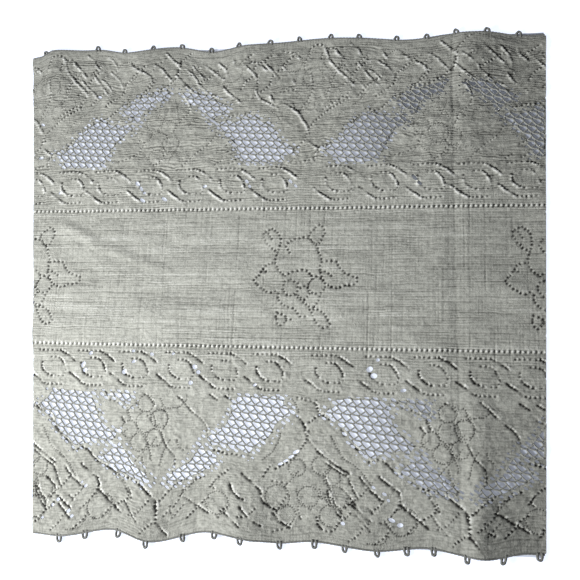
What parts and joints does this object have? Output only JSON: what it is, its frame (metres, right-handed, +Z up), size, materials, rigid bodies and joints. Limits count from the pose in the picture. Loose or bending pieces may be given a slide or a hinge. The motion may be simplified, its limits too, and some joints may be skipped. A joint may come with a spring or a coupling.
{
  "type": "filet lace table runner",
  "caption": "Cut length of a pale grey-beige filet lace table runner with a plain flowered centre panel, scroll bands, net-windowed borders and picot edges, lying flat with soft ripples.",
  "frame": {"origin": "middle of the underside, on the table", "axes": "+X along the runner, +Y across it to the back edge, +Z up from the table"},
  "size_m": [0.437, 0.4175, 0.006],
  "materials": {
    "lace_cotton": "matt woven cotton lace, grey-beige",
    "edge_thread": "matt twisted cotton thread, grey-beige"
  },
  "bodies": {
    "root": {"lace_cloth": "lace_cotton", "picot_edging_front": "edge_thread", "picot_edging_back": "edge_thread"}
  },
  "joints": []
}
